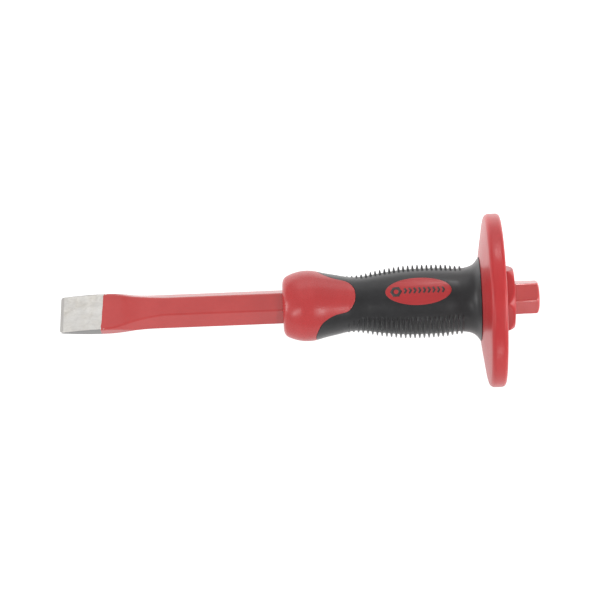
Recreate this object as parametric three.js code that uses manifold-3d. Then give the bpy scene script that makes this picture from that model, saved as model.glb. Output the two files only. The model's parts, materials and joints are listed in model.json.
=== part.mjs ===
// A cold chisel with a guarded grip, in millimetres.
//
// The tool is drawn along +X: cutting edge at x = 0, struck face at x = LENGTH, wide faces of the blade and
// the two badges facing +Z and -Z. Angles round the tool run from +Z towards +Y. At the end the tool is laid
// down as it rests on a bench, on its cutting edge and the rim of its guard, with the origin at the bottom
// centre of its bounding box.

import * as THREE from "three";
import { mergeVertices } from "three/addons/utils/BufferGeometryUtils.js";
import Module from "manifold-3d";

const wasm = await Module();
wasm.setup();

// ---- Driving dimensions ----------------------------------------------------------------------------------

const GAP = 0.3; // clearance between neighbouring pieces

// Bar
const LENGTH = 249.2;
const FLATS = 16; // hexagon, across flats
const CORNER_CUT = 0.7; // where a hexagon corner's rounding starts, along the flat
const BLADE_WIDTH = 19.3;
const BLADE_EDGE_CUT = 0.35; // broken edge of the blade
const EDGE_THICKNESS = 0.24;
const TIP_ROUNDING = 1.2; // rounded corners of the cutting edge, seen from above
const BEVEL_LENGTH = 1.5;
const BEVEL_THICKNESS = 1.7;
const WEDGE_END = 54.5; // the wedge reaches the full hexagon here
const WIDE_FACE = [19, 55]; // the wide face narrows to a hexagon flat between these
const SIDE_FACE = [24, 38]; // the side face narrows to a hexagon corner between these
const BLADE_SHOULDER = [27, 52]; // the outline narrows to the hexagon between these
const STRUCK_RADIUS = 5.5; // flat middle of the struck face
const HEAD_PROFILE = [ // [x, radius] of the turned end of the head
  [LENGTH - 2, 9.4],
  [LENGTH - 1.3, 8.5],
  [LENGTH - 0.6, 7.5],
  [LENGTH - 0.2, 6.6],
  [LENGTH, STRUCK_RADIUS],
];

// Grip
const GRIP_START = 115.8;
const GRIP_END = 218.1; // face of the guard
const FLARE_RADIUS = 21.9;
const SLEEVE_RADIUS = 12.2; // inner tube of the core, under the soft overmould
const GRIP_PROFILE = [ // [x, radius] of the grip between its ribs, a smooth curve through these
  [GRIP_START, 14.4],
  [117.4, 15.5],
  [121.5, 17.1],
  [128.5, 18.25],
  [134.5, 17.55],
  [142, 15.6],
  [153, 13.9],
  [165, 15],
  [176, 16.5],
  [187, 17.2],
  [200, 16.75],
  [208.6, 16.35],
  [213.6, 17.4],
  [216.4, 19.8],
  [GRIP_END, FLARE_RADIUS],
];
const TONGUE_TIP = 153.5; // the hard core shows as a tongue on the badge sides, to here
const TONGUE_ROOT = 141.5;
const TONGUE_HALF_ANGLE = 41; // degrees from the badge
const TONGUE_ROUNDNESS = 2.4; // powers of the tongue's curve and of the hollow one beside it
const HOLLOW_ROUNDNESS = 1.85;
const COLLAR_EDGE = 132.6; // and up to here between the tongues
const RIB_PITCH = 2.44;
const RIB_FIRST = 149.7;
const RIB_COUNT = 25;
const RIB_HEIGHT = 1.8;
const RIB_RISE = [146, 168]; // the ribs grow to their full height between these
const RIB_FIELD = [45, 57]; // degrees from a badge, where the ribs start and where they are full

// Badges
const BADGE_CENTRE = 186;
const BADGE_HALF_LENGTH = 17.2;
const BADGE_HALF_WIDTH = 7.5;
const BADGE_DEPTH = 1.3;
const BADGE_PROUD = 0.1;

// Guard
const GUARD_RADIUS = 45;
const GUARD_FRONT = GRIP_END + GAP;
const GUARD_RIM = [221.7, 229.9]; // the rim's two faces
const GUARD_BACK = 230.2;
const RIM_ROUNDING = 2;
const SEAT_RADIUS = 19.2; // raised seat of the hexagonal collar
const SEAT_FACE = 231.7;

// Collar
const COLLAR_FLATS = 31.3;
const COLLAR_START = SEAT_FACE + GAP;
const COLLAR_END = 235.9;
const TAIL_END = 234; // the core's inner tube ends inside the collar

const RED = 0xb3242a;
const FINE = 60; // facets round the turned pieces, a multiple of six so that hexagons keep their corners
const COARSE = 40; // facets round the ribbed overmould

// ---- Curves ----------------------------------------------------------------------------------------------

const lerp = THREE.MathUtils.lerp;
const ease = ([from, to], x) => THREE.MathUtils.smoothstep(x, from, to);

// A smooth function through [x, value] points, with the slope at each point taken from its neighbours.
function smoothThrough(points) {
  const slope = (i) => {
    const before = points[Math.max(i - 1, 0)];
    const after = points[Math.min(i + 1, points.length - 1)];
    return (after[1] - before[1]) / (after[0] - before[0]);
  };
  return (x) => {
    const last = points.length - 2;
    const i = Math.min(Math.max(points.findIndex((p) => p[0] > x) - 1, 0), last);
    const index = x >= points[last][0] ? last : i;
    const [[x0, y0], [x1, y1]] = [points[index], points[index + 1]];
    const t = THREE.MathUtils.clamp((x - x0) / (x1 - x0), 0, 1);
    const reach = x1 - x0;
    return (
      (2 * t ** 3 - 3 * t ** 2 + 1) * y0 +
      (t ** 3 - 2 * t ** 2 + t) * reach * slope(index) +
      (3 * t ** 2 - 2 * t ** 3) * y1 +
      (t ** 3 - t ** 2) * reach * slope(index + 1)
    );
  };
}

const gripRadius = smoothThrough(GRIP_PROFILE);

// Degrees from the nearer badge, from 0 to 90.
const fromBadge = (angle) => THREE.MathUtils.radToDeg(Math.asin(Math.min(1, Math.abs(Math.sin(angle)))));

// Distance from the axis to a hexagon whose flats face +Z and -Z.
function hexagonRadius(flats, angle) {
  const sixth = Math.PI / 3;
  const offset = angle - sixth * Math.round(angle / sixth);
  return flats / 2 / Math.cos(offset);
}

// Where the hard core meets the overmould: a rounded tongue on each badge side, and a hollow curve between.
// The tongue can be grown by a clearance.
function tongueEdge(angle, grow) {
  const a = fromBadge(angle);
  const half = TONGUE_HALF_ANGLE + THREE.MathUtils.radToDeg(grow / gripRadius(TONGUE_ROOT));
  const onTongue = a < half;
  const part = onTongue ? a / half : (90 - a) / (90 - half);
  const roundness = onTongue ? TONGUE_ROUNDNESS : HOLLOW_ROUNDNESS;
  const length = (onTongue ? TONGUE_TIP : COLLAR_EDGE) - TONGUE_ROOT;
  return TONGUE_ROOT + grow + length * (1 - part ** roundness) ** (1 / roundness);
}

// ---- Solids ----------------------------------------------------------------------------------------------

// A closed surface from rings of points with the same count, capped at both ends.
function loft(rings) {
  const count = rings[0].length;
  const positions = rings.flat(2);
  const faces = [];
  for (let ring = 0; ring < rings.length - 1; ring++) {
    for (let i = 0; i < count; i++) {
      const next = (i + 1) % count;
      const [a, b] = [ring * count + i, ring * count + next];
      faces.push(a, b, b + count, a, b + count, a + count);
    }
  }
  const end = (rings.length - 1) * count;
  for (let i = 1; i < count - 1; i++) {
    faces.push(0, i + 1, i);
    faces.push(end, end + i, end + i + 1);
  }
  return solidFrom(positions, faces);
}

// A ring-shaped solid round the X axis. loopAt(angle) gives its section there as [x, radius] points: out
// along the outside with x rising, and back along the inside.
function turned(loopAt, facets, firstAngle = 0) {
  const loops = Array.from({ length: facets }, (_, i) => {
    const angle = firstAngle + (2 * Math.PI * i) / facets;
    return loopAt(angle).map(([x, r]) => [x, r * Math.sin(angle), r * Math.cos(angle)]);
  });
  const count = loops[0].length;
  const faces = [];
  loops.forEach((_, turn) => {
    const across = ((turn + 1) % facets) * count;
    for (let i = 0; i < count; i++) {
      const next = (i + 1) % count;
      const [a, b, c, d] = [turn * count + i, turn * count + next, across + next, across + i];
      faces.push(a, b, c, a, c, d);
    }
  });
  return solidFrom(loops.flat(2), faces);
}

function solidFrom(positions, faces) {
  return new wasm.Manifold(
    new wasm.Mesh({
      numProp: 3,
      vertProperties: new Float32Array(positions),
      triVerts: new Uint32Array(faces),
    }),
  );
}

function solidOf(geometry) {
  geometry.deleteAttribute("normal");
  geometry.deleteAttribute("uv");
  const merged = mergeVertices(geometry, 1e-4);
  return solidFrom(merged.attributes.position.array, merged.index.array);
}

// A solid of revolution round X from [x, radius] points that start and end on the axis.
function lathed(profile) {
  const points = profile.map(([x, r]) => new THREE.Vector2(r, x));
  return solidOf(new THREE.LatheGeometry(points, FINE).rotateZ(-Math.PI / 2));
}

function piece(name, solid, material) {
  const made = solid.getMesh();
  const geometry = new THREE.BufferGeometry();
  geometry.setAttribute("position", new THREE.BufferAttribute(made.vertProperties, 3));
  geometry.setIndex(new THREE.BufferAttribute(made.triVerts, 1));
  geometry.computeVertexNormals();
  const mesh = new THREE.Mesh(geometry, material);
  mesh.name = name;
  return mesh;
}

// ---- Bar -------------------------------------------------------------------------------------------------

// Half sizes of the bar's eight-sided section at x: its half width and half height, the half width of the
// wide face on top, and the half height of the side face.
function barSection(x) {
  const flatHalf = FLATS / 2 / Math.sqrt(3);
  const cornerDrop = CORNER_CUT * Math.cos(Math.PI / 6);
  const cornerHalf = FLATS / Math.sqrt(3) - cornerDrop / Math.sqrt(3);
  const wedge = (x - BEVEL_LENGTH) / (WEDGE_END - BEVEL_LENGTH);
  const bevel = lerp(EDGE_THICKNESS, BEVEL_THICKNESS, x / BEVEL_LENGTH);
  const thickness = wedge < 0 ? bevel : lerp(BEVEL_THICKNESS, FLATS, Math.min(wedge, 1));
  const tip = TIP_ROUNDING * (1 - Math.sqrt(1 - Math.max(0, 1 - x / TIP_ROUNDING) ** 2));
  const half = lerp(BLADE_WIDTH / 2, cornerHalf, ease(BLADE_SHOULDER, x)) - tip;
  const high = thickness / 2;
  const blunt = Math.min(BLADE_EDGE_CUT, high / 2);
  return {
    half,
    high,
    top: lerp(half - blunt, flatHalf, ease(WIDE_FACE, x)),
    side: lerp(high - blunt, cornerDrop, ease(SIDE_FACE, x)),
  };
}

function barRing(x) {
  const { half, high, top, side } = barSection(x);
  const edge = new THREE.Vector2(half - top, side - high);
  const cut = Math.min(CORNER_CUT, edge.length() * 0.4);
  edge.setLength(cut);
  const quarter = [
    [half, side],
    [top + edge.x, high + edge.y],
    [top - cut, high],
  ];
  const upper = [...quarter, ...quarter.map(([y, z]) => [-y, z]).reverse()];
  const lower = upper.map(([y, z]) => [-y, -z]);
  return [...upper, ...lower].map(([y, z]) => [x, y, z]);
}

function chiselBar() {
  const stations = [
    0, TIP_ROUNDING / 4, TIP_ROUNDING / 2, BEVEL_LENGTH,
    19, 24, 27, 30, 33, 36, 39, 42, 45, 48, 51, WEDGE_END,
    GRIP_START - 0.5, LENGTH,
  ];
  const blank = loft(stations.map(barRing));
  const clear = 2 * FLATS;
  const headEnd = lathed([[-1, 0], [-1, clear], [HEAD_PROFILE[0][0], clear], ...HEAD_PROFILE, [LENGTH, 0]]);
  return blank.intersect(headEnd);
}

// ---- Grip ------------------------------------------------------------------------------------------------

const boreRadius = (angle) => hexagonRadius(FLATS + 2 * GAP, angle);

const spread = (from, to, count) => Array.from({ length: count + 1 }, (_, i) => lerp(from, to, i / count));

// Everything ahead of the line where core and overmould meet, outside the middle of the inner tube's wall.
function aheadOfTongue(grow) {
  const [front, outside, inside] = [GRIP_START - 5, 2 * SLEEVE_RADIUS, SLEEVE_RADIUS - 1];
  return turned((angle) => {
    const edge = tongueEdge(angle, grow);
    return [[front, outside], [edge, outside], [edge, inside], [front, inside]];
  }, FINE);
}

function gripCore() {
  const collar = turned(() => [
    ...spread(GRIP_START, TONGUE_TIP + 2, 15).map((x) => [x, gripRadius(x)]),
    [TONGUE_TIP + 2, SLEEVE_RADIUS - 0.5],
    [GRIP_START, SLEEVE_RADIUS - 0.5],
  ], FINE);
  const tube = turned((angle) => [
    [GRIP_START, SLEEVE_RADIUS],
    [TAIL_END, SLEEVE_RADIUS],
    [TAIL_END, boreRadius(angle)],
    [GRIP_START, boreRadius(angle)],
  ], FINE);
  return collar.intersect(aheadOfTongue(0)).add(tube);
}

// Height of the ribs at their crests: they grow away from the tongue and drop a little before the flare.
const ribHeight = (x) => RIB_HEIGHT * ease(RIB_RISE, x) * (1 - 0.3 * ease([196, 210], x));

function gripOvermould() {
  const crest = (i) => RIB_FIRST + i * RIB_PITCH;
  const ribs = Array.from({ length: RIB_COUNT }, (_, i) => [
    { x: crest(i), rib: 1 },
    { x: crest(i) + RIB_PITCH / 2, rib: 0 },
  ]).flat();
  const front = [...spread(COLLAR_EDGE, RIB_FIRST - RIB_PITCH / 2, 8)].map((x) => ({ x, rib: 0 }));
  const flare = [212, 214, 215.6, 216.8, 217.6, GRIP_END].map((x) => ({ x, rib: 0 }));
  const body = turned((angle) => {
    const full = ease(RIB_FIELD, fromBadge(angle));
    return [
      ...[...front, ...ribs, ...flare].map(({ x, rib }) => [x, gripRadius(x) + rib * full * ribHeight(x)]),
      [GRIP_END, SLEEVE_RADIUS + GAP],
      [COLLAR_EDGE, SLEEVE_RADIUS + GAP],
    ];
  }, COARSE);
  return body.subtract(aheadOfTongue(GAP)).subtract(badge(1, GAP)).subtract(badge(-1, GAP));
}

// The oval inlay on the side that faces up or down, or the pocket for it when it is grown by a clearance.
function badge(side, grow = 0) {
  const oval = new THREE.Shape();
  oval.absellipse(BADGE_CENTRE, 0, BADGE_HALF_LENGTH + grow, BADGE_HALF_WIDTH + grow, 0, 2 * Math.PI);
  const prism = new THREE.ExtrudeGeometry(oval, {
    depth: 2 * FLARE_RADIUS,
    bevelEnabled: false,
    curveSegments: 22,
  });
  if (side < 0) prism.rotateX(Math.PI);
  const [from, to] = [BADGE_CENTRE - BADGE_HALF_LENGTH - 2, BADGE_CENTRE + BADGE_HALF_LENGTH + 2];
  const stations = spread(from, to, 6);
  const skin = turned(() => [
    ...stations.map((x) => [x, gripRadius(x) + BADGE_PROUD + 4 * grow]),
    ...stations.map((x) => [x, gripRadius(x) - BADGE_DEPTH - grow]).reverse(),
  ], FINE);
  return skin.intersect(solidOf(prism));
}

// ---- Guard and collar ------------------------------------------------------------------------------------

// A round fillet in a [x, radius] outline, from one rim face to the rim.
function rimCorner(centreX, centreR, from, to) {
  return spread(from, to, 3).map((degrees) => {
    const turn = THREE.MathUtils.degToRad(degrees);
    return [centreX + RIM_ROUNDING * Math.cos(turn), centreR + RIM_ROUNDING * Math.sin(turn)];
  });
}

function handGuard() {
  const hole = SLEEVE_RADIUS + GAP;
  const rimCentre = GUARD_RADIUS - RIM_ROUNDING;
  const outline = [
    [GUARD_FRONT, hole],
    [GUARD_FRONT, FLARE_RADIUS + 1.6],
    ...rimCorner(GUARD_RIM[0] + RIM_ROUNDING, rimCentre, 180, 90),
    ...rimCorner(GUARD_RIM[1] - RIM_ROUNDING, rimCentre, 90, 0),
    [GUARD_BACK, SEAT_RADIUS + 3],
    [GUARD_BACK + 0.3, SEAT_RADIUS + 0.6],
    [SEAT_FACE, SEAT_RADIUS],
    [SEAT_FACE, hole],
  ];
  return turned(() => outline, FINE, Math.PI / FINE);
}

function hexCollar() {
  const corner = COLLAR_FLATS / Math.sqrt(3);
  const blank = turned((angle) => [
    [COLLAR_START, hexagonRadius(COLLAR_FLATS, angle)],
    [COLLAR_END, hexagonRadius(COLLAR_FLATS, angle)],
    [COLLAR_END, boreRadius(angle)],
    [TAIL_END + GAP, boreRadius(angle)],
    [TAIL_END + GAP, SLEEVE_RADIUS + GAP],
    [COLLAR_START, SLEEVE_RADIUS + GAP],
  ], FINE);
  const chamfer = lathed([
    [COLLAR_START - 1, 0],
    [COLLAR_START - 1, corner + 0.6],
    [COLLAR_END, COLLAR_FLATS / 2 - 0.25],
    [COLLAR_END, 0],
  ]);
  return blank.intersect(chamfer);
}

// ---- Assembly --------------------------------------------------------------------------------------------

const paint = new THREE.MeshStandardMaterial({ color: RED, roughness: 0.4, metalness: 0 });
const hardRed = new THREE.MeshStandardMaterial({ color: RED, roughness: 0.5, metalness: 0 });
const softBlack = new THREE.MeshStandardMaterial({ color: 0x2b2b2d, roughness: 0.6, metalness: 0 });

const tool = new THREE.Group();
tool.add(
  piece("chisel_bar", chiselBar(), paint),
  piece("grip_core", gripCore(), hardRed),
  piece("grip_overmould", gripOvermould(), softBlack),
  piece("badge_top", badge(1), hardRed),
  piece("badge_bottom", badge(-1), hardRed),
  piece("hand_guard", handGuard(), hardRed),
  piece("hex_collar", hexCollar(), hardRed),
);

// The resting tilt brings the shoulder of the bevel and the front edge of the guard's rim to one height.
const reach = GUARD_RIM[0] + RIM_ROUNDING - BEVEL_LENGTH;
const drop = GUARD_RADIUS - RIM_ROUNDING - BEVEL_THICKNESS / 2;
const restTilt = Math.atan2(drop, reach) + Math.asin(RIM_ROUNDING / Math.hypot(reach, drop));
tool.rotation.y = -restTilt;

const box = new THREE.Box3().setFromObject(tool, true);
const centre = box.getCenter(new THREE.Vector3());
tool.position.set(-centre.x, -centre.y, -box.min.z);

const chisel = new THREE.Group();
chisel.add(tool);

export default chisel;
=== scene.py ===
"""A guarded cold chisel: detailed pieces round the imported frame, with a floor, lights and a camera.

Shapes are in millimetres in the tool's own frame: +X from the cutting edge to the struck face, +Z the
side that the upper badge faces, +Y along the cutting edge. Angles round the tool run from +Z to +Y.
"""

import json
import math

import bpy
import numpy as np
from mathutils import Matrix, Vector, noise


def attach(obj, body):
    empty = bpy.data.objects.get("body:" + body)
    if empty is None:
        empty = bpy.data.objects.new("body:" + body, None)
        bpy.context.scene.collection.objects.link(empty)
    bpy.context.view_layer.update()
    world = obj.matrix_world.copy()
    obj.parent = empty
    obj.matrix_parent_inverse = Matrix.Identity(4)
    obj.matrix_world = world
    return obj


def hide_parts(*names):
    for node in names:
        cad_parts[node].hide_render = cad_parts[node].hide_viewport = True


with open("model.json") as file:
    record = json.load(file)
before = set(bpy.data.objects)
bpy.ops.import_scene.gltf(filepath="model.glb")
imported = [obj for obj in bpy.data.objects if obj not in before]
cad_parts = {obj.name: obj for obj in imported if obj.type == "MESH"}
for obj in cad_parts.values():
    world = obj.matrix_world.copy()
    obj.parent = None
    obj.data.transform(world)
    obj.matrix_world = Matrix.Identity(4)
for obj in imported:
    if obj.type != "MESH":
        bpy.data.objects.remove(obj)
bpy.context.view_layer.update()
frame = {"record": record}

MM = 0.001
SIXTH = math.pi / 3  # of a turn

# ---- Sizes, in millimetres -----------------------------------------------------------------------

LENGTH = 249.2
FLATS = 16  # of the hexagonal bar
GRIP_START = 115.8
GRIP_END = 218.1
CORE_END = 234  # the core's tube ends here, inside the collar
SLEEVE_RADIUS = 12.2  # where the core's tube meets the overmould and the guard
GRIP_GAP = 0.1  # between the core's tube and what sits on it

# (x, value) along the bar: half width, half height, half of the wide face, half of the side face
HALF_WIDTH = [(0, 9.7), (1.5, 9.8), (21, 9.9), (30, 9.85), (36, 9.7), (41.5, 9.48), (47, 9.27), (54, 9.24)]
HALF_HEIGHT = [(0, 0.1), (1.55, 0.8), (21, 3.5), (26, 4.0), (31, 4.65), (36.3, 5.6), (41.5, 6.5),
               (46.7, 7.3), (52, 7.88), (55, 8)]
WIDE_FACE = [(0, 9.5), (1.5, 9.45), (21, 9.5), (27, 9.15), (31, 8.4), (36.3, 7.15), (41.5, 6.2),
             (46.7, 5.4), (52, 4.85), (55, 4.62)]
SIDE_FACE = [(0, 0.08), (1.5, 0.62), (21, 3.2), (26, 3.25), (31, 2.5), (36, 1.2), (39, 0.4), (43, 0.05),
             (55, 0.02)]
TIP_SKEW = math.tan(math.radians(2.9))  # the cutting edge leans this much towards the head at +Y
PAINT_SKEW = math.tan(math.radians(5.1))  # and the edge of the paint this much
TIP_ROUNDING = 1.2
PAINT_EDGE = 21.9
PAINT_FILM = 0.07
PAINT_WANDER = 0.35
BARE_HEAD = 240  # behind this the paint's film is left out
HEAD_PROFILE = [(247.2, 9.6), (247.8, 8.95), (248.4, 8.1), (248.8, 7.3), (249.05, 6.5), (LENGTH, 5.6)]

GRIP_PROFILE = [(115.9, 12.6), (116.3, 13.9), (117.3, 15.35), (119.6, 16.6), (121.7, 17.35), (123.8, 17.92),
                (126.3, 18.33), (128.8, 18.42), (131, 18.3), (133, 17.95), (135.2, 17.4), (137.3, 16.85),
                (140.4, 16.2), (143.5, 15.6), (147.7, 14.72), (151, 14.12), (154.5, 13.95), (159, 14.3),
                (162, 14.8), (166.4, 15.45), (170.6, 16.0), (175, 16.55), (179, 16.88), (183, 17.03),
                (189, 17.1), (195.6, 17.0), (200, 16.8), (204, 16.45), (207, 16.35), (210, 16.65),
                (212.2, 17.05), (214.2, 17.8), (215.9, 19.0), (217.2, 20.6), (GRIP_END, 22)]
# Where the red core gives way to the black sleeve, by degrees from a badge
TONGUE_EDGE = [(0, 153.5), (12, 153.2), (22, 152.1), (31.5, 150.4), (35.6, 148.9), (37.3, 146.6),
               (38.7, 144), (42.2, 141.1), (48.3, 138), (53, 136.2), (60, 134.8), (70, 133.5),
               (80, 132.7), (90, 132.45)]

RIB_PITCH = 2.44
RIB_FIRST = 149.7
RIB_COUNT = 25
RIB_HEIGHT = [(148, 0.3), (152, 0.6), (155, 1.0), (161, 1.5), (168, 1.85), (184, 2.0), (198, 1.9),
              (206, 1.5), (210, 1.0)]
RIB_FIELD = (46, 60)  # degrees from a badge, where the ribs start and where they are full
RIB_LAG = (147, 158)  # between these places the ribs start further from the badge
RIB_LAG_DEGREES = 18  # by up to this many degrees

BADGE_CENTRE = 186
BADGE_HALF_LENGTH = 17.1
BADGE_HALF_ANGLE = math.radians(25.9)
BADGE_PROUD = 0.16
BADGE_CROWN = 0.10  # how much prouder the middle stands
BADGE_ROOT = -1.2  # the badge goes this deep into the sleeve
INK_TOP = 0.035  # the printed marks stand this far over the badge's face
INK_ROOT = -0.1
NUT_CENTRE = (-11.6, -0.2)  # along and across the badge, from its middle
NUT_RADIUS = 3.1
NUT_HOLE = 1.25
CHEVRON_COUNT = 9
CHEVRON_PITCH = 2.45
CHEVRON_START = -7.3
CHEVRON_LENGTH = 1.1
CHEVRON_REACH = 1.5  # across the badge, to either side
CHEVRON_OVERLAP = 0.3  # each arm runs this far past the middle
CHEVRON_WIDTH = 1.0

GUARD_RADIUS = 45.2
GUARD_DROP = 1.05  # the guard sits this far towards -Y of the bar
GUARD_FACE = 218.35
GUARD_BACK = 231.75
FRONT_ROUNDING = 2.7
BACK_ROUNDING = 2.05
COLLAR_FLATS = 31.3
COLLAR_START = 231.85
COLLAR_END = 235.98

FLOOR_GLOW = (-20, 130, 1.0, 1.7)  # between these two places along +Y, it goes from 1.0 to 1.7


# ---- Frame of the tool ---------------------------------------------------------------------------

def tool_matrix():
    """Places the tool's own frame in the row frame, from the record's mounts."""
    mounts = {mount["name"]: mount for mount in frame["record"]["mounts"]}
    along = Vector(mounts["struck_face"]["axis"]).normalized()
    up = Vector(mounts["shank_flat_upper"]["axis"])
    up = (up - along * up.dot(along)).normalized()
    start = Vector(mounts["struck_face"]["pos_m"]) - along * LENGTH * MM
    turn = Matrix((along, up.cross(along), up)).transposed().to_4x4()
    return Matrix.Translation(start) @ turn


TOOL = tool_matrix()


# ---- Curves --------------------------------------------------------------------------------------

def curve(points):
    """A smooth function through (x, value) points that never overshoots them."""
    xs, ys = np.array(points, float).T
    rise = np.diff(ys) / np.diff(xs)
    slopes = np.zeros_like(ys)
    same = rise[:-1] * rise[1:] > 0
    before, after = rise[:-1][same], rise[1:][same]
    slopes[1:-1][same] = 2 * before * after / (before + after)
    slopes[0], slopes[-1] = rise[0], rise[-1]

    def at(x):
        i = np.clip(np.searchsorted(xs, x) - 1, 0, len(xs) - 2)
        reach = xs[i + 1] - xs[i]
        t = np.clip((x - xs[i]) / reach, 0, 1)
        return (
            (2 * t**3 - 3 * t**2 + 1) * ys[i]
            + (t**3 - 2 * t**2 + t) * reach * slopes[i]
            + (3 * t**2 - 2 * t**3) * ys[i + 1]
            + (t**3 - t**2) * reach * slopes[i + 1]
        )

    return at


def ease(start, end, x):
    """0 before start and 1 past end, with a smooth rise between."""
    t = np.clip((np.asarray(x, float) - start) / (end - start), 0, 1)
    return t * t * (3 - 2 * t)


def soft_least(a, b, blend):
    """The smaller of a and b, with the corner where they cross rounded."""
    gap = np.clip(blend - np.abs(a - b), 0, None)
    return np.minimum(a, b) - gap**2 / (4 * blend)


half_width, half_height = curve(HALF_WIDTH), curve(HALF_HEIGHT)
wide_face, side_face = curve(WIDE_FACE), curve(SIDE_FACE)
grip_radius, tongue_edge, rib_height = curve(GRIP_PROFILE), curve(TONGUE_EDGE), curve(RIB_HEIGHT)
head_radius = curve(HEAD_PROFILE)


def from_badge(angle):
    """Degrees from the nearer badge, from 0 to 90."""
    return math.degrees(math.asin(min(1, abs(math.sin(angle)))))


def hexagon_radius(flats, angle):
    """From the middle to the side of a hexagon with a flat side up."""
    offset = angle - SIXTH * round(angle / SIXTH)
    return flats / 2 / math.cos(offset)


# ---- Meshes --------------------------------------------------------------------------------------

def piece(name, points, faces, material, slot_name, *nodes):
    """A smooth-shaded piece of the tool, from millimetre points in the tool frame."""
    mesh = bpy.data.meshes.new(name)
    mesh.from_pydata((np.asarray(points, float) * MM).tolist(), [], faces)
    mesh.validate()
    mesh.shade_smooth()
    made = bpy.data.objects.new(name, mesh)
    bpy.context.scene.collection.objects.link(made)
    made.data.materials.append(material)
    made.matrix_world = TOOL
    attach(made, "root")
    if nodes:
        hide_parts(*nodes)
    return made


def ring_faces(rings, count, wrapped):
    """Quads between rings of points; the last ring joins the first when wrapped."""
    faces = []
    for ring in range(rings if wrapped else rings - 1):
        here, there = ring * count, (ring + 1) % rings * count
        for i in range(count):
            after = (i + 1) % count
            faces.append((here + i, here + after, there + after, there + i))
    return faces


def capped_loft(rings):
    """Points and faces of a solid through rings, each closed by a fan to its middle."""
    rings = np.asarray(rings)
    count = rings.shape[1]
    points = list(rings.reshape(-1, 3))
    faces = ring_faces(len(rings), count, False)
    points += [rings[0].mean(axis=0), rings[-1].mean(axis=0)]
    first, last = len(points) - 2, len(points) - 1
    end = (len(rings) - 1) * count
    for i in range(count):
        after = (i + 1) % count
        faces.append((first, after, i))
        faces.append((last, end + i, end + after))
    return points, faces


def turned(loop_at, angles):
    """Points and faces of a ring-shaped solid; loop_at(angle) is its section as (x, r) points."""
    loops = []
    for angle in angles:
        x, r = np.asarray(loop_at(angle), float).T
        loops.append(np.stack([x, r * math.sin(angle), r * math.cos(angle)], axis=1))
    count = len(loops[0])
    return np.concatenate(loops), ring_faces(len(loops), count, True)


SEED_STEP = np.array([17.3, 5.1, 9.7])
FINE_PART, FINE_SCALE = 0.4, 2.7


def undulate(made, size, wavelength, seed):
    """Moves vertices along their normals by smooth random heights, as a forged or moulded face has."""
    mesh = made.data
    count = len(mesh.vertices)
    places, normals = np.empty(3 * count), np.empty(3 * count)
    mesh.vertices.foreach_get("co", places)
    mesh.vertex_normals.foreach_get("vector", normals)
    scaled = (places.reshape(-1, 3) / MM / wavelength + SEED_STEP * seed).tolist()
    heights = np.array([noise.noise(at) + FINE_PART * noise.noise([FINE_SCALE * value for value in at])
                        for at in scaled])
    moved = places.reshape(-1, 3) + normals.reshape(-1, 3) * heights[:, None] * size * MM
    mesh.vertices.foreach_set("co", moved.ravel())
    mesh.update()


def even_angles(count):
    return [2 * math.pi * i / count for i in range(count)]


# ---- Material building blocks --------------------------------------------------------------------

MIX_FIRST, MIX_SECOND, MIX_RESULT = 6, 7, 2  # the colour sockets of a mix node


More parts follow.
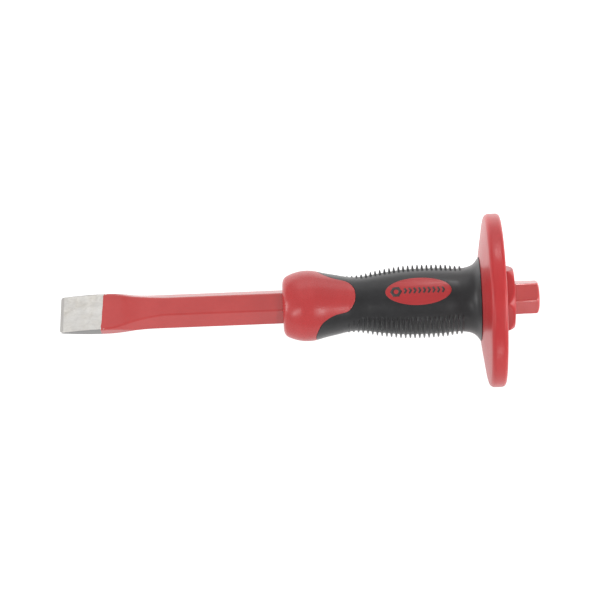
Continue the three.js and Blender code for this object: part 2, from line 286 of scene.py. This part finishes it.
class Shader:
    """A node material whose texture space is the tool frame in millimetres."""

    def __init__(self, name, **values):
        self.material = bpy.data.materials.new(name)
        self.material.use_nodes = True
        self.tree = self.material.node_tree
        self.surface = self.tree.nodes["Principled BSDF"]
        for socket, value in values.items():
            self.surface.inputs[socket.replace("_", " ")].default_value = value
        place = self.tree.nodes.new("ShaderNodeTexCoord")
        self.space = self.node("ShaderNodeVectorMath", operation="SCALE")
        self.link(place.outputs["Object"], self.space.inputs[0])
        self.space.inputs["Scale"].default_value = 1 / MM
        self.height = None

    def node(self, kind, **settings):
        made = self.tree.nodes.new(kind)
        for key, value in settings.items():
            setattr(made, key, value)
        return made

    def link(self, start, end):
        self.tree.links.new(start, end)

    def stretched(self, scale):
        mapping = self.node("ShaderNodeMapping")
        mapping.inputs["Scale"].default_value = scale
        self.link(self.space.outputs[0], mapping.inputs["Vector"])
        return mapping.outputs[0]

    def noise(self, wavelength, detail=4.0, roughness=0.55, stretch=(1, 1, 1), distortion=0.0):
        """Smooth random values from 0 to 1, with blobs about a wavelength across."""
        made = self.node("ShaderNodeTexNoise")
        made.inputs["Scale"].default_value = 1 / wavelength
        made.inputs["Detail"].default_value = detail
        made.inputs["Roughness"].default_value = roughness
        made.inputs["Distortion"].default_value = distortion
        self.link(self.stretched(stretch), made.inputs["Vector"])
        return made.outputs["Fac"]

    def along(self, axis):
        """Millimetres along an axis of the tool."""
        made = self.node("ShaderNodeSeparateXYZ")
        self.link(self.space.outputs[0], made.inputs[0])
        return made.outputs[axis]

    def range(self, value, low, high, to_low=0.0, to_high=1.0):
        """Maps value from low..high to to_low..to_high, held at the ends."""
        made = self.node("ShaderNodeMapRange")
        limits = {"From Min": low, "From Max": high, "To Min": to_low, "To Max": to_high}
        for socket, number in limits.items():
            made.inputs[socket].default_value = number
        self.link(value, made.inputs["Value"])
        return made.outputs["Result"]

    def maths(self, operation, first, second):
        made = self.node("ShaderNodeMath", operation=operation)
        for socket, value in zip(made.inputs, (first, second)):
            if isinstance(value, (int, float)):
                socket.default_value = value
            else:
                self.link(value, socket)
        return made.outputs[0]

    def mix(self, factor, first, second):
        """A colour between first and second; each is a colour or a socket."""
        made = self.node("ShaderNodeMix", data_type="RGBA")
        self.link(factor, made.inputs["Factor"])
        for socket, value in ((made.inputs[MIX_FIRST], first), (made.inputs[MIX_SECOND], second)):
            if isinstance(value, tuple):
                socket.default_value = (*value, 1)
            else:
                self.link(value, socket)
        return made.outputs[MIX_RESULT]

    def bump(self, height, depth):
        """Adds relief: height from 0 to 1, over depth in millimetres."""
        made = self.node("ShaderNodeBump")
        made.inputs["Strength"].default_value = 1
        made.inputs["Distance"].default_value = depth * MM
        self.link(height, made.inputs["Height"])
        if self.height is not None:
            self.link(self.height, made.inputs["Normal"])
        self.height = made.outputs["Normal"]

    def finish(self, colour, roughness):
        self.link(colour, self.surface.inputs["Base Color"])
        self.link(roughness, self.surface.inputs["Roughness"])
        if self.height is not None:
            self.link(self.height, self.surface.inputs["Normal"])
        return self.material


def red_paint():
    s = Shader("red_paint", IOR=1.7)
    broad = s.range(s.noise(14, 3), 0.35, 0.65)
    colour = s.mix(broad, (0.375, 0.020, 0.018), (0.41, 0.026, 0.024))
    cloud = s.range(s.noise(2.2, 5), 0.3, 0.7)
    colour = s.mix(s.range(cloud, 0, 1, 0, 0.35), colour, (0.35, 0.017, 0.016))
    speck = s.range(s.noise(0.28, 2), 0.70, 0.76)
    colour = s.mix(s.range(speck, 0, 1, 0, 0.5), colour, (0.25, 0.012, 0.012))
    s.bump(s.noise(6, 5, 0.5), 0.05)
    s.bump(s.noise(0.9, 3), 0.012)
    return s.finish(colour, s.range(s.noise(3.5, 6), 0.3, 0.7, 0.12, 0.20))


def ground_steel():
    s = Shader("ground_steel", Metallic=0.92, IOR=2.4)
    mottle = s.range(s.noise(2.6, 8, 0.62, (0.6, 1, 1), 0.6), 0.30, 0.70)
    colour = s.mix(mottle, (0.52, 0.49, 0.445), (0.76, 0.735, 0.69))
    patch = s.range(s.noise(6, 3), 0.35, 0.65)
    colour = s.mix(s.range(patch, 0, 1, 0, 0.45), colour, (0.66, 0.66, 0.66))
    lines = s.noise(0.35, 4, 0.6, (0.12, 1, 1))
    colour = s.mix(s.range(lines, 0.56, 0.75, 0, 0.4), colour, (0.38, 0.36, 0.33))
    side = s.range(s.maths("ABSOLUTE", s.along("Y"), 0), 9.45, 9.7)
    colour = s.mix(side, colour, (0.24, 0.235, 0.23))
    lean = s.maths("MULTIPLY", s.along("Y"), TIP_SKEW)
    bevel = s.range(s.maths("SUBTRACT", s.along("X"), lean), 1.9, 1.2)
    colour = s.mix(bevel, colour, (0.45, 0.435, 0.42))
    grain = s.noise(0.22, 3, 0.6)
    s.bump(lines, 0.02)
    s.bump(s.noise(1.6, 6, 0.6), 0.03)
    s.bump(grain, 0.01)
    return s.finish(colour, s.range(grain, 0.3, 0.7, 0.34, 0.52))


def red_plastic(name, ior, light, dark, roughness):
    """Moulded red plastic, between a light and a dark red and between two roughnesses."""
    s = Shader(name, IOR=ior)
    broad = s.range(s.noise(18, 3), 0.35, 0.65)
    colour = s.mix(broad, dark, light)
    flow = s.range(s.noise(3.0, 6, 0.5, (1, 0.4, 0.4), 0.8), 0.35, 0.65)
    colour = s.mix(s.range(flow, 0, 1, 0, 0.3), colour, tuple(0.92 * part for part in dark))
    grain = s.noise(0.32, 3)
    s.bump(s.noise(5, 3), 0.05)
    s.bump(grain, 0.012)
    return s.finish(colour, s.range(grain, 0.3, 0.7, *roughness))


def black_rubber():
    s = Shader("black_rubber", IOR=1.38, Sheen_Weight=0.3, Sheen_Roughness=0.4)
    cloud = s.range(s.noise(5, 5), 0.3, 0.7)
    colour = s.mix(cloud, (0.009, 0.009, 0.0098), (0.015, 0.015, 0.0165))
    dust = s.range(s.noise(0.5, 5, 0.7), 0.60, 0.78)
    colour = s.mix(s.range(dust, 0, 1, 0, 0.35), colour, (0.06, 0.058, 0.056))
    grain = s.noise(0.26, 3)
    s.bump(s.noise(4, 4), 0.04)
    s.bump(grain, 0.016)
    return s.finish(colour, s.range(grain, 0.3, 0.7, 0.32, 0.44))


def badge_ink():
    s = Shader("badge_print", IOR=1.5)
    colour = s.mix(s.range(s.noise(0.6, 4), 0.35, 0.65), (0.018, 0.014, 0.014), (0.034, 0.022, 0.022))
    return s.finish(colour, s.range(s.noise(0.4, 2), 0.3, 0.7, 0.36, 0.5))


def pale_floor():
    """A floor bright enough by its own glow to show no shadow."""
    s = Shader("pale_floor", IOR=1.4, Emission_Color=(1, 1, 1, 1))
    s.link(s.range(s.along("Y"), *FLOOR_GLOW), s.surface.inputs["Emission Strength"])
    colour = s.mix(s.range(s.noise(60, 3), 0.3, 0.7), (0.10, 0.10, 0.10), (0.12, 0.12, 0.12))
    return s.finish(colour, s.range(s.noise(8, 3), 0.3, 0.7, 0.65, 0.75))


PAINT, STEEL, RUBBER, INK = red_paint(), ground_steel(), black_rubber(), badge_ink()
PLASTIC = red_plastic("red_plastic", 1.45, (0.405, 0.035, 0.036), (0.375, 0.030, 0.031), (0.24, 0.33))
# The guard and collar take a slightly darker copy of the grip's red: painted shade that offsets the light
# the rim beams add to them.
GUARD_PLASTIC = red_plastic("guard_plastic", 1.34, (0.385, 0.028, 0.030), (0.355, 0.024, 0.026),
                            (0.27, 0.37))
BADGE_PLASTIC = red_plastic("badge_plastic", 1.36, (0.355, 0.028, 0.030), (0.335, 0.025, 0.027),
                            (0.30, 0.42))


# ---- Bar -----------------------------------------------------------------------------------------

# Parts of each side of an outline where its points lie, and the window that they are averaged over
EDGE_STEPS = (0, 0.015, 0.035, 0.06, 0.1, 0.18, 0.32, 0.5, 0.68, 0.82, 0.9, 0.94, 0.965, 0.985)
WINDOW = np.linspace(-1, 1, 9)


def rounded(corners, rounding):
    """Points round a convex outline whose corners are rounded by averaging over a short run of it."""
    corners = np.asarray(corners, float)
    closed = np.vstack([corners, corners[:1]])
    lengths = np.hypot(*np.diff(closed, axis=0).T)
    starts = np.concatenate([[0], np.cumsum(lengths)])
    total = starts[-1]
    steps = np.array(EDGE_STEPS)
    places = np.concatenate([start + steps * length for start, length in zip(starts, lengths)])
    spread = (places[:, None] + rounding * WINDOW[None, :]) % total
    y = np.interp(spread, starts, closed[:, 0]).mean(axis=1)
    z = np.interp(spread, starts, closed[:, 1]).mean(axis=1)
    return y, z


def bar_ring(x, film=0.0, rounding=0.42, lean=0.0):
    """The bar's outline at x, which leans towards the head at +Y by lean."""
    tip = TIP_ROUNDING * (1 - math.sqrt(max(0, 1 - max(0, 1 - x / TIP_ROUNDING) ** 2)))
    w, t = half_width(x) - tip + film, half_height(x) + film
    top, side = wide_face(x) - tip + film * 0.7, side_face(x)
    corners = [(w, -side), (w, side), (top, t), (-top, t), (-w, side), (-w, -side), (-top, -t), (top, -t)]
    y, z = rounded(corners, min(rounding, 0.3 * t))
    if x > HEAD_PROFILE[0][0]:
        reach = np.hypot(y, z)
        kept = soft_least(reach, np.full_like(reach, head_radius(x)), 0.5)
        y, z = y * kept / reach, z * kept / reach
    return np.stack([np.full_like(y, x) + lean * y, y, z], axis=1)


def shrunk(ring, scale):
    made = ring.copy()
    made[:, 1:] *= scale
    return made


def lean_at(x):
    """How much the outline leans at x: as the cutting edge, then as the paint's edge, then not at all."""
    paint = TIP_SKEW + (PAINT_SKEW - TIP_SKEW) * ease(2, PAINT_EDGE, x)
    return float(paint * (1 - ease(PAINT_EDGE + 1, PAINT_EDGE + 16, x)))


def ground_tip():
    stations = [0, 0.03, 0.1, 0.2, 0.35, 0.55, 0.8, 1.1, 1.35, 1.5, 1.58, 1.7, 2,
                *np.arange(2.6, 24.1, 0.6)]
    rings = [bar_ring(x, 0, 0.22, lean_at(x)) for x in stations]
    made = piece("bar_ground_tip", *capped_loft(rings), STEEL, "ground_steel")
    undulate(made, 0.018, 3.2, 1)


def ragged(ring, depth):
    """Lets the edge of the paint wander along the bar, as a dipped or masked edge does."""
    made = ring.copy()
    for point in made:
        point[0] += depth * noise.noise(Vector((point[1] * 0.8, point[2] * 0.8, 4.2)))
    return made


def painted_bar():
    edge = [(0.45, -0.3), (0.02, -0.02), (0, PAINT_FILM * 0.4), (0.05, PAINT_FILM * 0.85),
            (0.16, PAINT_FILM)]
    rings = [ragged(bar_ring(PAINT_EDGE + step, film, 0.4, PAINT_SKEW), PAINT_WANDER) for step, film in edge]
    stations = [*np.arange(PAINT_EDGE + 0.5, 60, 0.6), *np.arange(60.4, 246.8, 1.2), 247.2, 247.4, 247.6,
                247.8, 248, 248.2, 248.4, 248.6, 248.8, 248.93, 249.05, 249.14, LENGTH]
    for x in stations:
        ring = bar_ring(x, PAINT_FILM if x < BARE_HEAD else 0, 0.6, lean_at(x))
        rings.append(ragged(ring, PAINT_WANDER * (1 - float(ease(PAINT_EDGE, PAINT_EDGE + 3, x)))))
    last = rings[-1]
    rings += [shrunk(last, 0.72), shrunk(last, 0.4)]
    made = piece("bar_painted", *capped_loft(rings), PAINT, "red_paint", "chisel_bar")
    undulate(made, 0.03, 7, 2)


# ---- Grip ----------------------------------------------------------------------------------------

GRIP_FACETS = 360
SEAM_LIP = 0.28  # the core's edge starts to round this far before the seam


def bulb_loop(angle):
    """Section of the hard core: the bulb and tongue, and the tube that runs back under the overmould."""
    edge = tongue_edge(from_badge(angle))
    bore = hexagon_radius(FLATS + 0.5, angle)
    face = [(GRIP_START + 0.9, bore), (GRIP_START + 0.25, bore + 0.25), (GRIP_START, bore + 0.7),
            (GRIP_START - 0.05, 11.4)]
    nose = [(x, grip_radius(x)) for x in (115.9, 116.0, 116.15, 116.35, 116.6, 116.9, 117.3, 117.8)]
    skin = [(x, grip_radius(x)) for x in np.linspace(118.4, edge - SEAM_LIP, 56)]
    rim = float(grip_radius(edge))
    seam = [(edge - SEAM_LIP * 0.45, rim - 0.03), (edge - SEAM_LIP * 0.12, rim - 0.12), (edge, rim - 0.32)]
    under = [(edge, SLEEVE_RADIUS), (CORE_END, SLEEVE_RADIUS), (CORE_END, bore)]
    return face + nose + skin + seam + under


def front_bulb():
    made = piece("grip_front_bulb", *turned(bulb_loop, even_angles(GRIP_FACETS)), PLASTIC, "red_plastic",
                 "grip_core")
    undulate(made, 0.03, 9, 3)


def rib_rise(x):
    """How far a rib stands at x, from 0 between ribs to 1 on a crest."""
    phase = (x - RIB_FIRST) / RIB_PITCH
    inside = (phase > -0.5) & (phase < RIB_COUNT - 0.5)
    away = np.abs(phase - np.round(phase))
    return np.where(inside, 1 - ease(0.10, 0.27, away), 0)


# Parts of a rib's pitch where the sleeve has a station
RIB_STEPS = (-0.5, -0.4, -0.31, -0.26, -0.21, -0.16, -0.115, -0.05, 0.05, 0.115, 0.16, 0.21, 0.26, 0.31,
             0.4)
SETTLED_RIB = 4  # in front of it, the stations crowd towards the seam, which curves
# From SETTLED on, every angle has the same stations; the sections themselves add SETTLED
SETTLED, *SLEEVE_STATIONS = [RIB_FIRST + (i + step) * RIB_PITCH
                             for i in range(SETTLED_RIB, RIB_COUNT) for step in RIB_STEPS]


def sleeve_loop(angle):
    """Section of the overmould, with its ribs where the angle is far enough from the badges."""
    away = from_badge(angle)
    edge = tongue_edge(away) + 0.05
    front = np.linspace(edge + 0.3, SETTLED, 120)
    tail = [210.2, 211, 212.2, 212.9, 213.6, 214.3, 215, 215.5, 216, 216.4, 216.8, 217.2, 217.6, 217.9]
    x = np.concatenate([front, SLEEVE_STATIONS, tail])
    lag = RIB_LAG_DEGREES * (1 - ease(*RIB_LAG, x))
    full = ease(RIB_FIELD[0] + lag, RIB_FIELD[1] + lag, away)
    fade = ease(0, 2.2, x - edge)
    r = grip_radius(x) + rib_rise(x) * full * rib_height(x) * fade
    rim = float(grip_radius(edge))
    seam = [(edge, rim - 0.32), (edge + 0.03, rim - 0.12), (edge + 0.13, rim - 0.03)]
    end = [(GRIP_END - 0.08, 21.85), (GRIP_END, 21.7)]
    under = [(GRIP_END, SLEEVE_RADIUS + GRIP_GAP), (edge, SLEEVE_RADIUS + GRIP_GAP)]
    return np.concatenate([seam, np.stack([x, r], axis=1), end, under])


def ribbed_sleeve():
    made = piece("grip_ribbed_sleeve", *turned(sleeve_loop, even_angles(GRIP_FACETS)), RUBBER,
                 "black_rubber", "grip_overmould")
    undulate(made, 0.03, 6, 4)


# ---- Badges --------------------------------------------------------------------------------------

def on_badge(side, x, angle, lift):
    """A point over a badge: x along the tool, angle across it, lift from the grip's surface."""
    r = grip_radius(x) + lift
    turn = angle + (0 if side > 0 else math.pi)
    return np.stack([x, r * np.sin(turn), r * np.cos(turn)], axis=-1)


def badge_lift(part):
    """How proud the face stands, by distance from the middle as a part of the oval."""
    return BADGE_PROUD + BADGE_CROWN * (1 - np.asarray(part) ** 2)


def badge(side, name, node):
    """An oval badge; side is 1 for the upper one and -1 for the lower."""
    turns = np.array(even_angles(144))
    rings = []
    levels = [(part, badge_lift(part)) for part in (*np.linspace(0.06, 0.96, 16), 0.975)]
    levels += [(0.987, BADGE_PROUD * 0.85), (0.996, BADGE_PROUD * 0.4), (1.0, -0.1), (1.0, BADGE_ROOT),
               (0.5, BADGE_ROOT)]
    for part, lift in levels:
        x = BADGE_CENTRE + BADGE_HALF_LENGTH * part * np.cos(turns)
        angle = BADGE_HALF_ANGLE * part * np.sin(turns)
        rings.append(on_badge(side, x, angle, lift))
    points, faces = capped_loft(rings)
    piece(name, points, [face[::-1] for face in faces], BADGE_PLASTIC, "red_plastic", node)


def mark_point(side, at, lift):
    """A point over the badge's face, from millimetres along and across it."""
    angle = at[1] / float(grip_radius(BADGE_CENTRE))
    part = math.hypot(at[0] / BADGE_HALF_LENGTH, angle / BADGE_HALF_ANGLE)
    return on_badge(side, BADGE_CENTRE + at[0], angle, float(badge_lift(part)) + lift)


def ink_section(side, first, second):
    """The four corners of a printed mark's section between two places on the badge."""
    corners = ((first, INK_TOP), (second, INK_TOP), (second, INK_ROOT), (first, INK_ROOT))
    return [mark_point(side, at, lift) for at, lift in corners]


def strip(side, start, end, width):
    """A flat printed bar from start to end on the badge, as points and faces of a thin solid."""
    start, end = np.array(start, float), np.array(end, float)
    along = (end - start) / np.linalg.norm(end - start)
    across = np.array([-along[1], along[0]]) * width / 2
    rings = []
    for t in np.linspace(0, 1, 5):
        middle = start + (end - start) * t
        rings.append(ink_section(side, middle - across, middle + across))
    return capped_loft(rings)


def joined(parts):
    """Several (points, faces) as one."""
    points, faces = [], []
    for some_points, some_faces in parts:
        start = len(points)
        points += [tuple(p) for p in some_points]
        faces += [tuple(start + i for i in face) for face in some_faces]
    return points, faces


def nut_mark(side, middle, outer, inner):
    """A printed hexagonal nut on the badge, as points and faces of a thin solid."""
    rings = []
    for turn in even_angles(48):
        reach = math.cos(SIXTH / 2) / math.cos((turn % SIXTH) - SIXTH / 2)
        out = middle + outer * reach * np.array([math.cos(turn), math.sin(turn)])
        hole = middle + inner * np.array([math.cos(turn), math.sin(turn)])
        rings.append(ink_section(side, out, hole))
    return np.concatenate(rings), ring_faces(len(rings), 4, True)


def badge_marks(side, name):
    """Plain dark marks: a hexagonal nut, and a row of chevrons."""
    marks = [nut_mark(side, np.array(NUT_CENTRE), NUT_RADIUS, NUT_HOLE)]
    for i in range(CHEVRON_COUNT):
        left = CHEVRON_START + CHEVRON_PITCH * i
        point = left + CHEVRON_LENGTH
        marks.append(strip(side, (left, -CHEVRON_REACH), (point, CHEVRON_OVERLAP), CHEVRON_WIDTH))
        marks.append(strip(side, (point, -CHEVRON_OVERLAP), (left, CHEVRON_REACH), CHEVRON_WIDTH))
    piece(name, *joined(marks), INK, "badge_print")


# ---- Guard and collar ----------------------------------------------------------------------------

def arc(centre_x, centre_r, radius, start, end, steps):
    """(x, r) points of an arc; its start and end are in degrees from +X."""
    turns = np.radians(np.linspace(start, end, steps))
    return [(centre_x + radius * math.cos(t), centre_r + radius * math.sin(t)) for t in turns]


def guard_loop(_angle):
    """Section of the guard: a slight cone in front, a rim with two roundings, and a boss at the back."""
    hole = SLEEVE_RADIUS + GRIP_GAP
    front = [(GUARD_FACE, hole), (GUARD_FACE, 20.5), (GUARD_FACE, 21.9), (GUARD_FACE + 0.03, 22.6),
             (GUARD_FACE + 0.1, 24)]
    cone = list(zip(np.linspace(GUARD_FACE + 0.35, GUARD_FACE + 2.75, 9), np.linspace(25.7, 41, 9)))
    edge = arc(224.2, GUARD_RADIUS - FRONT_ROUNDING, FRONT_ROUNDING, 171, 94, 11) + [(226, GUARD_RADIUS)]
    edge += arc(227.85, GUARD_RADIUS - BACK_ROUNDING, BACK_ROUNDING, 84, 4, 9)
    back = [(229.98, 41), (230.05, 37), (230.15, 31), (230.3, 25), (230.5, 21.5), (230.85, 20.4),
            (231.2, 19.9), (231.5, 19.7), (231.68, 19.5), (GUARD_BACK, 19.1), (GUARD_BACK, 15)]
    return front + cone + edge + back + [(GUARD_BACK, hole)]


def round_guard():
    points, faces = turned(guard_loop, even_angles(240))
    points[:, 1] -= GUARD_DROP * ease(23, GUARD_RADIUS, np.hypot(points[:, 1], points[:, 2]))
    made = piece("guard_disc", points, faces, GUARD_PLASTIC, "red_plastic", "hand_guard")
    undulate(made, 0.05, 14, 5)


def hexagon(flats, rounding):
    """Points (y, z) round a hexagon with rounded corners and a flat side up."""
    corner = flats / math.sqrt(3)
    return rounded([(corner * math.cos(a), corner * math.sin(a)) for a in even_angles(6)], rounding)


def collar_ring(x, limit):
    """The collar's hexagon at x, cut off softly at a radius of limit."""
    y, z = hexagon(COLLAR_FLATS, 0.35)
    reach = np.hypot(y, z)
    kept = soft_least(reach, np.full_like(reach, limit), 0.25)
    return np.stack([np.full_like(y, x), y * kept / reach, z * kept / reach], axis=1)


def bore_ring(x, grow):
    y, z = hexagon(FLATS + grow, 0.3)
    return np.stack([np.full_like(y, x), y, z], axis=1)


def rear_collar():
    cone = curve([(231.8, 18.6), (235.6, 15.75), (235.85, 15.45), (COLLAR_END, 15.0)])
    stations = (COLLAR_START, 232.2, 232.7, 233.2, 233.7, 234.2, 234.7, 235.2, 235.5, 235.7, 235.82, 235.9,
                235.95, COLLAR_END)
    rings = [collar_ring(x, float(cone(x))) for x in stations]
    rings += [bore_ring(COLLAR_END, 3.2), bore_ring(235.95, 1.2), bore_ring(235.75, 0.55),
              bore_ring(235.3, 0.4), bore_ring(COLLAR_START, 0.4)]
    points, count = np.concatenate(rings), len(rings[0])
    faces = ring_faces(len(rings), count, True)
    made = piece("guard_hex_collar", points, faces, GUARD_PLASTIC, "red_plastic", "hex_collar")
    undulate(made, 0.03, 6, 6)


# ---- Studio --------------------------------------------------------------------------------------

VIEW_ELEVATION = math.radians(19.75)  # the camera stands this far below the badge's normal
VIEW_ROLL = math.radians(2.28)
VIEW_TARGET = (124.8, 3.2)  # along the tool, and up in the view
VIEW_DISTANCE = 1595.6
FRAME_WIDTH = 312.24  # millimetres across at the tool's axis
SENSOR = 36  # millimetres
CLIP_END = 20  # metres
BEAM_ALONG = 225.5  # where the beams meet the guard's rim
BEAM_DISTANCE = 500
BEAM_LEAN = 0.063  # towards +X, as a part of the beam's length
BEAM_SPREAD = math.radians(5.5)
BEAM_SOURCE = 0.05  # metres
FLOOR_REACH = 3.0  # metres
WORLD_STRENGTH = 0.7


def view_axes():
    """Right, up, towards the camera, and up without the roll, in the tool frame."""
    back = Vector((0, -math.sin(VIEW_ELEVATION), math.cos(VIEW_ELEVATION)))
    level = Vector((0, math.cos(VIEW_ELEVATION), math.sin(VIEW_ELEVATION)))
    along = Vector((1, 0, 0))
    right = along * math.cos(VIEW_ROLL) - level * math.sin(VIEW_ROLL)
    up = along * math.sin(VIEW_ROLL) + level * math.cos(VIEW_ROLL)
    return right, up, back, level


def add_camera():
    right, up, back, level = view_axes()
    target = Vector((VIEW_TARGET[0], 0, 0)) + level * VIEW_TARGET[1]
    data = bpy.data.cameras.new("camera")
    data.sensor_width = SENSOR
    data.lens = SENSOR * VIEW_DISTANCE / FRAME_WIDTH
    data.clip_end = CLIP_END
    camera = bpy.data.objects.new("camera", data)
    place = Matrix((right, up, back)).transposed().to_4x4()
    place.translation = (target + back * VIEW_DISTANCE) * MM
    camera.matrix_world = TOOL @ place
    bpy.context.scene.collection.objects.link(camera)
    bpy.context.scene.camera = camera


def place_light(name, data, centre, away):
    """Puts a light at centre, in metres in the row frame, facing back along away."""
    light = bpy.data.objects.new(name, data)
    light.matrix_world = Matrix.Translation(centre) @ away.to_track_quat("Z", "Y").to_matrix().to_4x4()
    bpy.context.scene.collection.objects.link(light)


def add_panel(name, across, above, distance, size, power):
    """A soft panel that faces the tool; across and above are degrees from the camera's axis.

    Its distance and size are in metres, and its power in watts.
    """
    right, up, back, _ = view_axes()
    a, b = math.radians(across), math.radians(above)
    direction = right * math.sin(a) + (up * math.sin(b) + back * math.cos(b)) * math.cos(a)
    data = bpy.data.lights.new(name, "AREA")
    data.shape = "RECTANGLE"
    data.size, data.size_y = size
    data.energy = power
    aim = (TOOL.to_3x3() @ direction).normalized()
    place_light(name, data, TOOL @ Vector((LENGTH / 2 * MM, 0, 0)) + aim * distance, aim)


def add_rim_beam(name, above, power):
    """A narrow beam that the guard's rim reflects; above is in degrees from the camera's axis."""
    right, up, back, _ = view_axes()
    half = math.radians(above / 2)
    lit = Vector((BEAM_ALONG, -GUARD_DROP, 0)) + (up * math.sin(half) + back * math.cos(half)) * GUARD_RADIUS
    direction = up * math.sin(2 * half) + back * math.cos(2 * half) + right * BEAM_LEAN
    data = bpy.data.lights.new(name, "SPOT")
    data.energy = power
    data.shadow_soft_size = BEAM_SOURCE
    data.spot_size = BEAM_SPREAD
    data.spot_blend = 1
    place_light(name, data, TOOL @ ((lit + direction * BEAM_DISTANCE) * MM), TOOL.to_3x3() @ direction)


def add_floor():
    corners = [(across * FLOOR_REACH, along * FLOOR_REACH, 0)
               for across, along in ((-1, -1), (1, -1), (1, 1), (-1, 1))]
    mesh = bpy.data.meshes.new("floor")
    mesh.from_pydata(corners, [], [(0, 1, 2, 3)])
    floor = bpy.data.objects.new("floor", mesh)
    mesh.materials.append(pale_floor())
    bpy.context.scene.collection.objects.link(floor)


def add_world():
    world = bpy.data.worlds.new("studio")
    world.use_nodes = True
    background = world.node_tree.nodes["Background"]
    background.inputs["Color"].default_value = (1, 1, 1, 1)
    background.inputs["Strength"].default_value = WORLD_STRENGTH
    bpy.context.scene.world = world


ground_tip()
painted_bar()
front_bulb()
ribbed_sleeve()
badge(1, "badge_upper", "badge_top")
badge(-1, "badge_lower", "badge_bottom")
badge_marks(1, "badge_upper_marks")
badge_marks(-1, "badge_lower_marks")
round_guard()
rear_collar()

add_camera()
add_floor()
add_world()
add_panel("back_panel", 0, 98, 0.9, (0.9, 0.2), 0.5)
add_panel("high_panel", 0, 76, 1.2, (1.2, 0.6), 3.2)
add_panel("top_panel", 0, 45, 1.6, (1.6, 1.0), 1.7)
add_rim_beam("high_beam", 67, 15)
add_rim_beam("low_beam", -71, 10)
add_panel("left_panel", -29, -24, 1.0, (0.07, 0.4), 1.6)
add_panel("right_panel", 34, -24, 1.0, (0.07, 0.4), 2.3)
add_panel("left_side_panel", -72, -10, 0.9, (0.3, 0.5), 3.5)
add_panel("right_side_panel", 72, -10, 0.9, (0.3, 0.5), 4.6)
bpy.context.scene.view_settings.view_transform = "Standard"

bpy.context.view_layer.update()
